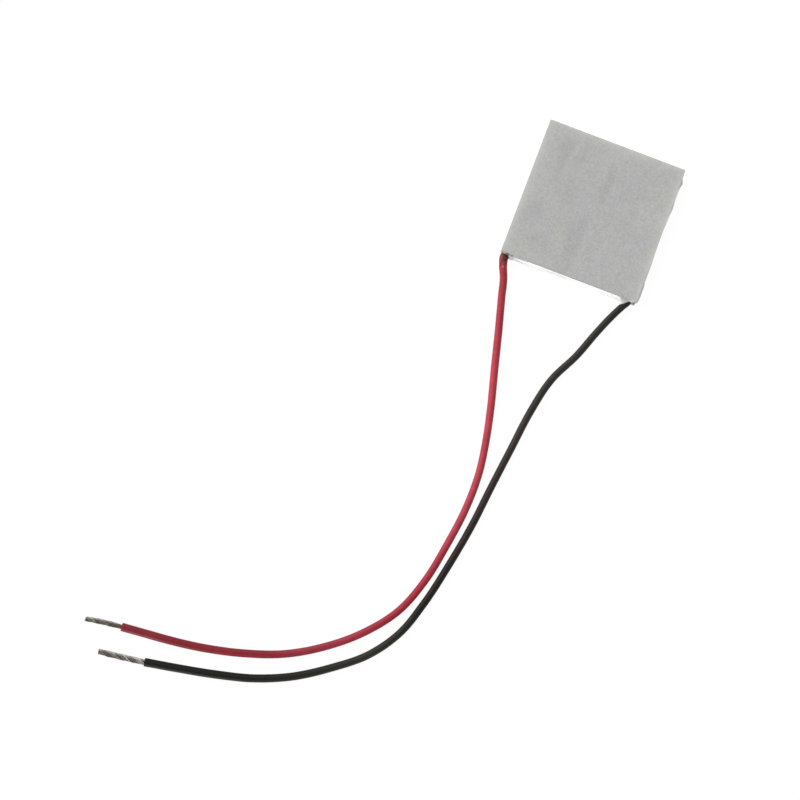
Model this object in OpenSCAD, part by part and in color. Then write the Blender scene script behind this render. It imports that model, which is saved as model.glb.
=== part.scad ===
// Thermoelectric cooling module: two ceramic plates with a series circuit of
// bismuth telluride pellets and copper tabs between them, a silicone bead round
// the rim, and a red and a black lead soldered to the two corner pads.
//
// Frame: the origin is the middle of the hot plate's outer face, which lies on
// the table. +Z runs up to the cold face and +Y away from the leads.

/* [Plates] */
// Side of the square ceramic plates
plate_w = 30; // [27:0.5:40]
// Thickness of the lower, hot-side plate
hot_plate_t = 0.75; // [0.5:0.05:1.2]
// Thickness of the upper, cold-side plate
cold_plate_t = 0.75; // [0.5:0.05:1.2]
// Radius of the plates' corners
plate_corner_r = 0.15; // [0.05:0.05:0.6]

/* [Pellets and tabs] */
// Cells along each side of the array, an even number
cells = 12; // [4:2:12]
// Side of a pellet, square in plan
pellet_w = 1.4; // [0.8:0.05:1.6]
// Height of a pellet
pellet_h = 1.6; // [1.2:0.05:2.5]
// Thickness of the solder at each end of a pellet
solder_t = 0.05; // [0.02:0.01:0.1]
// Width of a copper tab
tab_w = 1.7; // [1.6:0.05:2]
// Thickness of a copper tab
tab_t = 0.3; // [0.2:0.05:0.5]
// Bare rim of the plates round the tabs
rim = 1; // [0.9:0.05:1.4]

/* [Sealing bead] */
// Width of the bead, from its outer to its inner face
bead_w = 0.5; // [0.3:0.05:0.6]
// How far the bead's edges sit in from the plates' edge
bead_inset = 0.15; // [0.1:0.01:0.2]
// How far the bead's outer face swells between its edges
bead_swell = 0.08; // [0.03:0.01:0.1]
// Outer radius of the bead's corners
bead_corner_r = 0.9; // [0.7:0.05:1.2]
// Length of the dab of sealant round the red lead's exit
red_dab_l = 3.8; // [3:0.1:4.4]
// How far that dab stands out of the plates' edge
red_dab_out = 0.6; // [0.3:0.05:0.8]
// Length of the dab of sealant round the black lead's exit
black_dab_l = 4.8; // [3:0.1:5.4]
// How far that dab stands out of the plates' edge
black_dab_out = 1; // [0.5:0.05:1.1]
// How far each dab's middle lies inboard of its lead
dab_shift = 0.7; // [0.2:0.05:1]
// Gap between a dab's crest and the plates' inner faces
dab_relief = 0.07; // [0.04:0.01:0.2]

/* [Leads] */
// Outside diameter of the leads' insulation
lead_d = 1.6; // [1.1:0.05:1.8]
// Diameter of the tinned copper core
core_d = 0.8; // [0.5:0.05:0.95]
// Gap between a lead and the hot plate under it
lead_lift = 0.1; // [0.06:0.01:0.2]
// Gap between a lead's insulation and the edge of its pad
lead_gap = 0.1; // [0.1:0.01:0.15]
// Play between a lead and the sealant round it
lead_play = 0.03; // [0.01:0.01:0.05]
// How far the red lead ends outboard of its pad's middle
red_shift = 0.45; // [0.1:0.05:0.45]
// How far the black lead ends outboard of its pad's middle
black_shift = 0.15; // [0:0.05:0.4]
// Length of core stripped at the soldered end
soldered_l = 2; // [1.4:0.1:2.2]
// Length of core stripped at the red lead's free end
red_strip_l = 7.6; // [4:0.2:12]
// Length of core stripped at the black lead's free end
black_strip_l = 9.4; // [4:0.2:12]
// Outer strands in the core, laid round one more
outer_strands = 6; // [5:1:8]
// Length along the core in which its strands go once round
strand_lay = 7; // [4:0.5:12]
// Length of the solder joint on each pad
joint_l = 1.5; // [0.8:0.1:1.6]
// Height of the solder joint above its pad
joint_h = 0.75; // [0.5:0.05:0.8]

/* [Hidden] */
$fn = 48;
gap_h = pellet_h + 2 * (solder_t + tab_t);
hot_top = hot_plate_t;
pellet_z = hot_top + tab_t + solder_t;
cold_tab_z = pellet_z + pellet_h + solder_t;
cold_plate_z = hot_top + gap_h;
edge = plate_w / 2;
tab_edge = edge - rim;
pitch = (2 * tab_edge - tab_w) / (cells - 1);
last_step = cells * cells - 1;
pad_x = tab_edge - tab_w / 2;
bead_mid_z = hot_top + gap_h / 2;

lead_r = lead_d / 2;
core_r = core_d / 2;
// A lead leaves above the hot plate, and its core above its pad
lead_z = max(hot_top + lead_lift + lead_r, hot_top + tab_t + core_r + lead_lift);
red_start = [-pad_x - red_shift, -tab_edge - lead_gap];
black_start = [pad_x + black_shift, -tab_edge - lead_gap];
ring_sides = 8;
ring_step = 2.5 * lead_d;
slices_per_lay = 16;
// Outer strands are drawn a little over size, so that they press into each other
strand_squeeze = 1.1;
strand_d = core_d / (2 + strand_squeeze);
middle_strand_d = 1.6 * strand_d;

// The leads' routes from where their insulation starts: across, along, and
// height as a share of the drop from the exit to the table
red_route = [
    [0, 0, 1], [-0.3, -1.2, 1], [0, -2.8, 0.85], [1, -5.3, 0.5], [2, -9, 0.15],
    [4, -16.3, 0], [6, -24, 0], [8, -31.5, 0], [9.5, -38.3, 0], [10.5, -45, 0],
    [10.5, -53.5, 0], [9.5, -61.5, 0], [8, -69.5, 0], [5, -77.5, 0], [0, -84, 0],
    [-6.5, -89.5, 0], [-14, -94, 0], [-21, -96.5, 0], [-29, -98.5, 0],
    [-36.5, -99.5, 0], [-42, -100, 0], [-46.3, -100.4, 0]
];
black_route = [
    [0, 0, 1], [0, -0.9, 1], [-0.6, -2, 0.9], [-2.3, -5.4, 0.5], [-4, -9.5, 0.1],
    [-6, -15, 0], [-9, -21.5, 0], [-11, -30, 0], [-12, -38, 0], [-13, -46.5, 0],
    [-14, -56, 0], [-15.5, -65, 0], [-17.5, -74.2, 0], [-20, -81.5, 0],
    [-24.5, -88, 0], [-30.5, -93, 0], [-37.5, -97.5, 0], [-44.5, -100.5, 0],
    [-52, -102.5, 0], [-59, -104, 0], [-66.5, -105.4, 0]
];

function column_name(part, c) = str(part, "_column_", c < 9 ? "0" : "", c + 1);

// ---- The circuit ----
// The current takes one step from cell to cell, up the first column and down
// the next. Step 0 is the red lead's pad and the last step the black lead's.
function column_of(step) = floor(step / cells);
function row_of(step) = let (along = step % cells)
    column_of(step) % 2 == 0 ? along : cells - 1 - along;
function cell_at(step) = pitch * [
    column_of(step) - (cells - 1) / 2,
    row_of(step) - (cells - 1) / 2
];

// ---- The leads' smooth curve ----
function span(p, i) = norm(p[i + 1] - p[i]);
function slope(p, i) = (p[i + 1] - p[i]) / span(p, i);
function heading(p, i) =
    i == 0 ? slope(p, 0) :
    i == len(p) - 1 ? slope(p, i - 1) :
    (slope(p, i - 1) * span(p, i) + slope(p, i) * span(p, i - 1))
        / (span(p, i - 1) + span(p, i));
function on_curve(p, i, t) =
    (1 + 2 * t) * pow(1 - t, 2) * p[i] + t * pow(1 - t, 2) * span(p, i) * heading(p, i)
    + t * t * (3 - 2 * t) * p[i + 1] - t * t * (1 - t) * span(p, i) * heading(p, i + 1);
function rings_in(p, i) = max(1, round(span(p, i) / ring_step));
function above_table(q) = [q.x, q.y, max(q.z, lead_r)];
function smooth(p) = concat(
    [for (i = [0:len(p) - 2]) for (k = [0:rings_in(p, i) - 1])
        above_table(on_curve(p, i, k / rings_in(p, i)))],
    [p[len(p) - 1]]
);
function placed(route, start) = [for (q = route)
    [start.x + q.x, start.y + q.y, lead_r + q.z * (lead_z - lead_r)]];
function unit(v) = v / norm(v);

red_path = smooth(placed(red_route, red_start));
black_path = smooth(placed(black_route, black_start));
// Rings of a lead's path that the sealant's channel follows
channel_rings = 4;

// ---- Plates ----
module plate(thickness) {
    straight = plate_w - 2 * plate_corner_r;
    linear_extrude(height = thickness) {
        square([plate_w, straight], center = true);
        square([straight, plate_w], center = true);
        for (x = [-1, 1], y = [-1, 1])
            translate([x, y] * straight / 2) circle(r = plate_corner_r);
    }
}

module hot_plate() {
    color("gainsboro") plate(hot_plate_t);
}

module cold_plate() {
    color("gainsboro") translate([0, 0, cold_plate_z]) plate(cold_plate_t);
}

// ---- Tabs ----
// A tab lies under or over two neighbouring cells of the circuit
module tab(step, z) {
    from = cell_at(step);
    to = cell_at(step + 1);
    size = [abs(to.x - from.x) + tab_w, abs(to.y - from.y) + tab_w, tab_t];
    middle = (from + to) / 2;
    translate([middle.x - size.x / 2, middle.y - size.y / 2, z]) cube(size);
}

// The hot side joins every even step to the next and carries both lead pads
module hot_tabs(c) {
    color("#b87333")
        for (step = [c * cells:2:(c + 1) * cells - 1]) tab(step, hot_top);
}

// The cold side joins every odd step to the next, across to the next column too
module cold_tabs(c) {
    color("#b87333")
        for (step = [c * cells + 1:2:min((c + 1) * cells - 1, last_step - 2)])
            tab(step, cold_tab_z);
}

// ---- Pellets and their solder ----
function pellet_steps(from, to) = [for (step = [from:to])
    if (step > 0 && step < last_step) step];

module on_cell(step, z, thickness) {
    translate([cell_at(step).x, cell_at(step).y, z + thickness / 2])
        cube([pellet_w, pellet_w, thickness], center = true);
}

// N-type pellets stand on the odd steps and P-type pellets on the even ones
module pellets(c, remainder) {
    for (step = pellet_steps(c * cells, (c + 1) * cells - 1))
        if (step % 2 == remainder) on_cell(step, pellet_z, pellet_h);
}

module n_pellets(c) {
    color("#5c6068") pellets(c, 1);
}

module p_pellets(c) {
    color("#3e4048") pellets(c, 0);
}

module pellet_solder() {
    color("silver")
        for (step = pellet_steps(0, last_step), z = [pellet_z - solder_t, pellet_z + pellet_h])
            on_cell(step, z, solder_t);
}

// ---- Sealing bead ----
// Section of the bead, with its outer edges at x = 0 and its swell beyond them
module bead_section() {
    swell_r = (pow(gap_h / 2, 2) + pow(bead_swell, 2)) / (2 * bead_swell);
    translate([-bead_w, -gap_h / 2]) square([bead_w, gap_h]);
    intersection() {
        translate([bead_swell - swell_r, 0]) circle(r = swell_r, $fn = 180);
        translate([-bead_w / 2, -gap_h / 2]) square([bead_w, gap_h]);
    }
}

// A quarter of the bead: one straight side and the corner that follows it
module bead_side() {
    outer = edge - bead_inset;
    straight = 2 * (outer - bead_corner_r);
    translate([outer, -straight / 2, 0]) rotate([90, 0, 180])
        mirror([1, 0, 0]) linear_extrude(height = straight) bead_section();
    translate([straight / 2, straight / 2, 0])
        rotate_extrude(angle = 90) translate([bead_corner_r, 0]) bead_section();
}

// A lens of sealant that fills the gap between the plates and stands out of it
module dab(x, length, out) {
    across = gap_h / 2 - dab_relief;
    arc_r = (pow(length / 2, 2) + pow(across, 2)) / (2 * across);
    inner = edge - bead_inset - bead_w;
    intersection() {
        translate([x, -edge + across - out, 0]) rotate([0, 90, 0])
            rotate_extrude() intersection() {
                translate([across - arc_r, 0]) circle(r = arc_r, $fn = 96);
                translate([0, -length / 2]) square([across, length]);
            }
        translate([-plate_w, -inner - plate_w, -gap_h])
            cube([2 * plate_w, plate_w, 2 * gap_h]);
    }
}

module perimeter_seal() {
    color("white") difference() {
        translate([0, 0, bead_mid_z]) {
            for (turn = [0:90:270]) rotate(turn) bead_side();
            dab(red_start.x + dab_shift, red_dab_l, red_dab_out);
            dab(black_start.x - dab_shift, black_dab_l, black_dab_out);
        }
        sweep(red_path, lead_r + lead_play, channel_rings);
        sweep(black_path, lead_r + lead_play, channel_rings);
    }
}

// ---- Leads ----
// A tube of the given radius along the first rings of a path
module sweep(path, radius, rings) {
    corners = [for (i = [0:rings - 1])
        let (
            ahead = unit(path[min(i + 1, len(path) - 1)] - path[max(i - 1, 0)]),
            side = unit(cross(ahead, [0, 0, 1])),
            up = cross(side, ahead)
        )
        for (k = [0:ring_sides - 1])
            path[i] + radius * (cos(360 * k / ring_sides) * side + sin(360 * k / ring_sides) * up)
    ];
    walls = [for (i = [0:rings - 2], k = [0:ring_sides - 1])
        let (
            near = i * ring_sides,
            far = near + ring_sides,
            next = (k + 1) % ring_sides
        )
        each [[near + k, near + next, far + next], [near + k, far + next, far + k]]
    ];
    ends = [
        [for (k = [ring_sides - 1:-1:0]) k],
        [for (k = [0:ring_sides - 1]) (rings - 1) * ring_sides + k]
    ];
    polyhedron(points = corners, faces = concat(walls, ends), convexity = 8);
}

// Places its children at a path's end, with +Z pointing along it and outwards
module at_start(path) {
    out = path[0] - path[1];
    translate(path[0]) rotate([0, 90, atan2(out.y, out.x)]) children();
}

module at_finish(path) {
    last = len(path) - 1;
    out = path[last] - path[last - 1];
    translate(path[last]) rotate([0, 90, atan2(out.y, out.x)]) children();
}

// The bare core at a free end: tinned strands twisted round a middle one
module twisted_core(length) {
    outer_d = strand_squeeze * strand_d;
    linear_extrude(
        height = length,
        twist = 360 * length / strand_lay,
        slices = round(slices_per_lay * length / strand_lay)
    ) {
        circle(d = middle_strand_d, $fn = 16);
        for (k = [0:outer_strands - 1]) rotate(360 * k / outer_strands)
            translate([core_r - outer_d / 2, 0]) circle(d = outer_d, $fn = 12);
    }
}

module soldered_core(path) {
    at_start(path) cylinder(h = soldered_l, d = core_d);
}

// A mound of solder on the pad that holds the core lying in it
module joint(side, path) {
    mound_r = tab_w / 2;
    flat_r = (pow(mound_r, 2) + pow(joint_h, 2)) / (2 * joint_h);
    color("silver") difference() {
        intersection() {
            translate([side * pad_x, lead_gap - tab_edge, hot_top + tab_t + joint_h - flat_r])
                rotate([-90, 0, 0]) cylinder(h = joint_l, r = flat_r, $fn = 96);
            translate([side * pad_x - mound_r, -tab_edge, hot_top + tab_t])
                cube([2 * mound_r, plate_w / 2, gap_h]);
        }
        soldered_core(path);
    }
}

module red_lead() {
    color("#b0303c") sweep(red_path, lead_r, len(red_path));
}

module red_lead_soldered_end() {
    color("silver") soldered_core(red_path);
}

module red_lead_free_end() {
    color("silver") at_finish(red_path) twisted_core(red_strip_l);
}

module red_lead_joint() {
    joint(-1, red_path);
}

module black_lead() {
    color("#2c2b28") sweep(black_path, lead_r, len(black_path));
}

module black_lead_soldered_end() {
    color("silver") soldered_core(black_path);
}

module black_lead_free_end() {
    color("silver") at_finish(black_path) twisted_core(black_strip_l);
}

module black_lead_joint() {
    joint(1, black_path);
}

// ---- What is drawn ----
hot_plate();
cold_plate();
perimeter_seal();
pellet_solder();
red_lead();
red_lead_soldered_end();
red_lead_free_end();
red_lead_joint();
black_lead();
black_lead_soldered_end();
black_lead_free_end();
black_lead_joint();
for (c = [0:cells - 1]) {
    hot_tabs(c);
    cold_tabs(c);
    n_pellets(c);
    p_pellets(c);
}
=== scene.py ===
"""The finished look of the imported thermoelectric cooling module.

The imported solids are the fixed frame. Each operator builds one kind of piece
around them, in metres and in the solids' own frame.
"""

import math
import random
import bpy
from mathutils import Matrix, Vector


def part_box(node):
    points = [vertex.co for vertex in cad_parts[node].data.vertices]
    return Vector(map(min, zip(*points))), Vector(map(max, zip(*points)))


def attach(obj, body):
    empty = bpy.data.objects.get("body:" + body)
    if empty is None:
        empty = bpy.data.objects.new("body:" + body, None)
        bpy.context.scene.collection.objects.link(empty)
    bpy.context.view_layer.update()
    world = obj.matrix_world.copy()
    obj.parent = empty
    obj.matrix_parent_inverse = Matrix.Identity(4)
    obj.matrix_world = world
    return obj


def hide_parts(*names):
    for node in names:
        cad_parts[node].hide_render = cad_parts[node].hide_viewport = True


bl_info = {
    "name": "Cooling Module",
    "version": (1, 0, 0),
    "blender": (4, 5, 0),
    "location": "3D View > Sidebar > Cooling Module",
    "description": "Builds the finished pieces of a thermoelectric cooling module",
    "category": "Object",
}

from collections import namedtuple

import bmesh
import bpy
from bpy.props import (
    FloatProperty,
    FloatVectorProperty,
    IntProperty,
    PointerProperty,
)
from mathutils import Matrix, Vector, noise
from mathutils.geometry import interpolate_bezier

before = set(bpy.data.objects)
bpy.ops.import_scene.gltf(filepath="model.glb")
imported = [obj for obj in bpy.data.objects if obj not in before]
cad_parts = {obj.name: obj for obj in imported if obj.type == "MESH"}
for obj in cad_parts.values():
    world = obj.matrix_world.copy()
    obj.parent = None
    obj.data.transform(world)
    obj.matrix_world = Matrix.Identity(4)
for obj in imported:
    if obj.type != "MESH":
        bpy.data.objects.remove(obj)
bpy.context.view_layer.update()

MM = 0.001
# The room between the plates, and how far the plates reach from their middle.
HOT_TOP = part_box("hot_plate")[1].z
COLD_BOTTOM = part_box("cold_plate")[0].z
PLATE_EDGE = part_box("cold_plate")[1].x

# Nominal radius of the insulation, and how far above its place on the table a
# lead leaves the module, both in millimetres.
LEAD_R = 0.8
EXIT_RISE = 0.85
# Where the insulation starts, across and along in millimetres.
RED_START = (-13.47, -14.16)
BLACK_START = (13.43, -14.16)
# The leads' routes, close to the solids' own: across and along from that start
# in millimetres, height as a share of the rise, and girth as a share of the
# nominal radius.
RED_ROUTE = [
    (-0.05, 0, 1, 1.18), (-0.42, -1.2, 1, 1.18), (-0.05, -2.8, 0.85, 1.06),
    (1, -5.3, 0.5, 1.0), (2, -9, 0.15, 1.0), (4, -16.3, 0, 1.02), (6, -24, 0, 1.02),
    (8, -31.5, 0, 1.0), (9.5, -38.3, 0, 0.97), (10.5, -45, 0, 0.96),
    (10.5, -53.5, 0, 0.96), (9.5, -61.5, 0, 0.95), (8, -69.5, 0, 0.95),
    (5, -77.5, 0, 0.96), (0, -84, 0, 0.97), (-6.46, -89.55, 0, 0.98),
    (-14, -94, 0, 1.0), (-21, -96.5, 0, 1.03), (-29.01, -98.43, 0, 1.05),
    (-36.5, -99.5, 0, 1.07), (-42, -100, 0, 1.08), (-46.3, -100.4, 0, 1.08),
]
BLACK_ROUTE = [
    (0.08, 0, 1, 0.88), (-0.02, -0.9, 1, 0.88), (-0.66, -2, 0.9, 0.92),
    (-2.34, -5.4, 0.5, 0.95), (-4, -9.5, 0.1, 0.94), (-6, -15, 0, 0.96),
    (-9.09, -21.47, 0, 0.96), (-11, -30, 0, 0.96), (-11.95, -38, 0, 0.95),
    (-12.97, -46.5, 0, 0.95), (-14, -56, 0, 0.95),
    (-15.53, -65, 0, 0.96), (-17.54, -74.2, 0, 0.96), (-20, -81.5, 0, 0.97),
    (-24.5, -88, 0, 0.98), (-30.5, -93, 0, 1.0), (-37.47, -97.55, 0, 1.03),
    (-44.47, -100.58, 0, 1.05), (-51.98, -102.58, 0, 1.07), (-59, -104.03, 0, 1.08),
    (-66.3, -105.36, 0, 1.1),
]
# Painted light and shade along each insulation, from its exit to its free end: the colour
# is made lighter where light fell strongly on the lead and darker where it fell off.
# Share of the length, then factors on the colour's red, green and blue.
RED_PAINTED_LIGHT = (
    (0, 1.0, 1.08, 1.0), (0.05, 1.07, 1.1, 1.1), (0.11, 1.13, 1.12, 1.2),
    (0.2, 1.37, 1.7, 1.73), (0.3, 1.25, 1.5, 1.5), (0.37, 1.33, 1.63, 1.71),
    (0.45, 1.165, 1.22, 1.37), (0.55, 1.07, 0.53, 0.85), (0.61, 0.98, 0.62, 0.87),
    (0.67, 1.0, 1.0, 1.15), (0.73, 0.8, 0.81, 1.0), (0.8, 0.73, 0.39, 0.57),
    (0.9, 0.61, 0.3, 0.4), (0.95, 0.62, 0.45, 0.52), (1, 0.59, 0.5, 0.52),
)
BLACK_PAINTED_LIGHT = (
    (0, 0.7, 0.95, 0.9), (0.05, 1.4, 1.35, 1.1), (0.1, 1.85, 1.6, 1.5),
    (0.2, 1.75, 1.6, 1.5), (0.25, 2.1, 1.8, 1.7), (0.3, 2.05, 1.6, 1.5),
    (0.4, 1.6, 1.2, 1.15), (0.5, 0.9, 0.62, 0.35), (0.56, 0.4, 0.4, 0.05),
    (0.66, 1.75, 1.7, 1.5), (0.75, 0.8, 0.8, 0.65), (0.85, 0.25, 0.3, 0.1),
    (1, 0.14, 0.24, 0.0),
)
# Soft marks on the red insulation by its exit: a brown flux stain, painted shadow where
# the lead runs under the plate's edge, and painted glints. Place, half width and half
# length in millimetres, and colour.
RED_STAINS_AND_PAINTED_LIGHT = (
    (-13.8, -15.6, 1.3, 1.05, (0.13, 0.013, 0.011)),
    (-14.4, -16.0, 0.24, 0.9, (0.2, 0.04, 0.03)),
    # Painted shadow where the lead runs under the plate's edge, on this line and the next
    (-13.9, -14.95, 1.0, 0.3, (0.08, 0.03, 0.025)),
    (-13.45, -15.3, 0.55, 0.75, (0.075, 0.012, 0.014)),
    # A painted glint, a dark mark at the lead's left edge, and a painted highlight
    (-13.65, -15.62, 0.2, 0.22, (0.15, 0.05, 0.055)),
    (-14.1, -17.2, 0.2, 0.7, (0.08, 0.02, 0.02)),
    (-13.45, -17.5, 0.22, 0.2, (0.6, 0.16, 0.19)),
)
# Painted shade on the bead, mostly round the leads: grey where it lies under the plates'
# edge, in the gaps beside the leads and at the front right corner. The same columns.
SEAL_PAINTED_SHADE = (
    (-2.4, -15.0, 3.6, 0.7, (0.74, 0.74, 0.74)),
    (-11.6, -15.05, 0.9, 0.3, (0.74, 0.74, 0.72)),
    (-12.5, -15.3, 0.75, 0.8, (0.5, 0.46, 0.5)),
    (-13.25, -15.2, 0.25, 0.5, (0.05, 0.015, 0.018)),
    (12.4, -15.2, 1.15, 0.8, (0.56, 0.56, 0.54)),
    (13.0, -15.1, 0.6, 0.6, (0.46, 0.46, 0.44)),
    (13.6, -14.9, 0.6, 0.35, (0.33, 0.33, 0.33)),
    (14.95, -14.6, 0.6, 0.5, (0.2, 0.2, 0.2)),
    (14.5, -15.02, 0.42, 0.4, (0.12, 0.12, 0.12)),
)
# Painted shade on the bead's upper half on the right, where it is squeezed out under the
# upper plate's rim; the same columns.
LIP_PAINTED_SHADE = (
    (15.3, 12.0, 0.9, 1.3, (0.6, 0.6, 0.59)),
    (15.3, 6.9, 0.9, 1.0, (0.7, 0.7, 0.69)),
    (15.3, -8.0, 0.9, 3.0, (0.75, 0.75, 0.74)),
    (15.3, -12.2, 0.9, 2.2, (0.6, 0.6, 0.59)),
)
# The same for the lower plate's front rim.
# Painted shade on the lower plate's front rim at its right corner, under the bead; the
# same columns.
LEDGE_MARKS = ((14.6, -15.0, 0.5, 0.4, (0.5, 0.5, 0.5)),)
# Mostly painted shade on the upper plate's front rim, where the leads and the bead meet
# it, with a brown flux stain by the red lead and a paler patch at the right corner; the
# same columns.
PLATE_RIM_SHADE_AND_STAIN = (
    (-14.6, -15.1, 0.6, 0.3, (0.3, 0.22, 0.19)),
    (-13.5, -15.1, 0.7, 0.34, (0.07, 0.05, 0.045)),
    (-11.0, -15.1, 2.2, 0.3, (0.43, 0.43, 0.41)),
    (12.6, -15.05, 1.4, 0.3, (0.37, 0.37, 0.37)),
    (-12.5, -15.1, 0.45, 0.3, (0.2, 0.2, 0.19)),
    (14.2, -14.95, 0.42, 0.22, (0.6, 0.6, 0.6)),
    (14.6, -15.22, 0.4, 0.34, (0.12, 0.12, 0.12)),
)
# Smudges on the plates: place, half width and half length in millimetres, and
# the share of light that they take.
SMUDGES = (
    (-9.8, 9.3, 1.5, 5.5, 0.09), (1.0, 6.0, 1.2, 4.2, 0.09),
    (-1.8, -7.5, 1.9, 6.0, 0.07), (-11.8, -5.2, 2.2, 2.6, 0.06),
    (-6.0, 1.5, 1.6, 3.0, 0.03), (-8.5, -10.0, 3.0, 2.2, 0.05),
    (-6.5, 11.5, 1.0, 3.0, 0.05),
)
# The plates' mottling: size of its patches in millimetres, how far they change
# the tone, and factors on the place, which draw the patches out where under 1.
MOTTLING = (
    (6.0, 0.025, (1.0, 0.45, 1.0)), (2.6, 0.02, (1.0, 0.6, 1.0)),
    (1.2, 0.018, None), (0.6, 0.022, None), (0.33, 0.12, None),
)
# How far the bead stands out of its outline on the front and on the right:
# place along that side and distance, in millimetres.
DABS = (
    (-15, 0.05), (-13.3, 0.05), (-12.98, 0.4), (-12.7, 0.68), (-12.42, 0.72),
    (-12.1, 0.55), (-11.7, 0.4), (-10.8, 0.24), (-9.4, 0.16), (-6.8, 0.16),
    (-5.6, 0.12), (0.3, 0.12), (1.6, 0.16), (10.0, 0.16), (10.8, 0.22),
    (11.3, 0.42), (11.6, 0.8), (11.85, 1.16), (12.1, 1.26), (12.4, 1.12),
    (12.7, 0.9), (13.0, 0.66), (13.3, 0.34), (13.6, 0.14), (15, 0.12),
)
SQUEEZED = (
    (-15, 0.45), (-13.5, 0.62), (-10.8, 0.63), (-9.8, 0.47), (-5, 0.46),
    (-3.5, 0.36), (-1, 0.31), (1.5, 0.3), (4, 0.42), (6.5, 0.6), (9, 0.46),
    (10.8, 0.46), (11.6, 0.54), (12.5, 0.72), (13.3, 0.42), (13.9, 0.15),
    (15, 0.05),
)

# The camera's place and its three axes, and the lamps: place and size in
# metres. Both lamps point at the same spot.
CAMERA_PLACE = (-0.01732, -0.10671, 0.45544)
CAMERA_RIGHT = (0.93454, 0.35452, 0.03075)
CAMERA_UP = (-0.35560, 0.92710, 0.11846)
CAMERA_BACK = (0.01349, -0.12164, 0.99248)
KEY_LAMP = ((-0.77, 0.29, 0.62), (1.0, 1.0))
FILL_LAMP = ((-0.3, -1.56, 0.2), (0.9, 0.24))
LIT_SPOT = (-0.015, -0.045, 0)
# The floor lies this far below the module, so that their faces don't meet.
FLOOR_DROP = 0.02 * MM
# What the camera sees of the floor: an even glow, and a little of the light
# that falls on it, which shows the shadows.
FLOOR_GLOW = 0.95
FLOOR_SHADE = 0.07

# Two places closer than this are the same, in metres.
SAME = 1e-7
# A face with more corners than this is a cap, not a part of a wall.
WALL_CORNERS = 4

# The rings of strands in a bundle, from its middle outwards: their number, their
# distance from the middle as a share of the outermost ones', and how far they
# are turned as a share of the angle between two of them.
STRAND_RINGS = ((1, 0.0, 0.0), (6, 0.52, 0.5), (12, 1.0, 0.0))
# One strand's diameter as a share of the bundle's.
STRAND_SHARE = 0.205

# One lead's bare end: its length, its bundle's diameter, how far its tip bends
# sideways and how suddenly, its girth where it leaves the insulation as a
# share of the bundle's, how worn its middle is, how much more its start is
# worn than its tip, and the seed of its strands' wander.
BareEnd = namedtuple("BareEnd", "length bundle bend curl neck worn fading seed")


# ---- Sizes and colours that a user would change ----
def colour(name, description, default):
    return FloatVectorProperty(
        name=name, description=description, default=default,
        subtype="COLOR", size=3, min=0, max=1,
    )


def length(name, description, default):
    return FloatProperty(
        name=name, description=description, default=default,
        unit="LENGTH", min=0, precision=6,
    )


class StageSettings(bpy.types.PropertyGroup):
    floor_size: length("Floor size", "Side of the square floor", 6.0)
    floor_colour: colour(
        "Floor colour", "Colour of the light that the floor throws back", (0.9, 0.9, 0.9),
    )
    key_power: FloatProperty(
        name="Key lamp", description="Power of the main soft lamp",
        default=9.3, unit="POWER", min=0,
    )
    fill_power: FloatProperty(
        name="Fill lamp", description="Power of the low front lamp",
        default=12.5, unit="POWER", min=0,
    )
    sky: FloatProperty(
        name="Sky", description="Strength of the even light from all round",
        default=0.55, min=0,
    )
    lens: FloatProperty(
        name="Lens", description="Focal length in millimetres", default=100, min=1,
    )


class PlateSettings(bpy.types.PropertyGroup):
    ceramic_colour: colour("Ceramic", "Colour of the fired alumina", (0.43, 0.43, 0.428))
    edge_colour: colour("Rim", "Colour towards the plates' edges", (0.58, 0.585, 0.54))
    snapped_colour: colour("Sides", "Colour of the snapped sides", (0.6, 0.6, 0.59))
    # Painted light: the plates' front sides get this near white, as if lit from the front
    lit_front_colour: colour(
        "Smeared", "Colour of the sealant smeared over the front", (0.94, 0.94, 0.94),
    )
    corner_radius: length("Corner radius", "Radius of the plates' corners", 0.15 * MM)
    edge_break: length("Edge break", "Width of the broken edge", 0.04 * MM)
    edge_wander: length("Edge wander", "How far the snapped edges wander", 0.05 * MM)


class SealSettings(bpy.types.PropertyGroup):
    seal_colour: colour("Sealant", "Colour of the cured silicone", (0.95, 0.95, 0.94))
    width: length("Width", "Width of the bead between the plates", 0.5 * MM)
    inset: length("Inset", "How far the bead sits in from the plates' edge", 0.15 * MM)
    corner_radius: length("Corner radius", "Outer radius of the bead's corners", 0.9 * MM)
    swell: length("Swell", "How far the bead's face swells outwards", 0.08 * MM)
    lumps: length("Lumps", "Height of the bead's lumps", 0.04 * MM)


class LeadSettings(bpy.types.PropertyGroup):
    red_colour: colour("Red", "Colour of the red lead", (0.325, 0.0225, 0.036))
    black_colour: colour("Black", "Colour of the black lead", (0.0125, 0.0115, 0.009))
    bore: length("Bore", "Diameter of the hole that the strands fill", 0.9 * MM)
    wobble: length("Wobble", "How far the insulation's surface wanders", 0.04 * MM)


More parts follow.
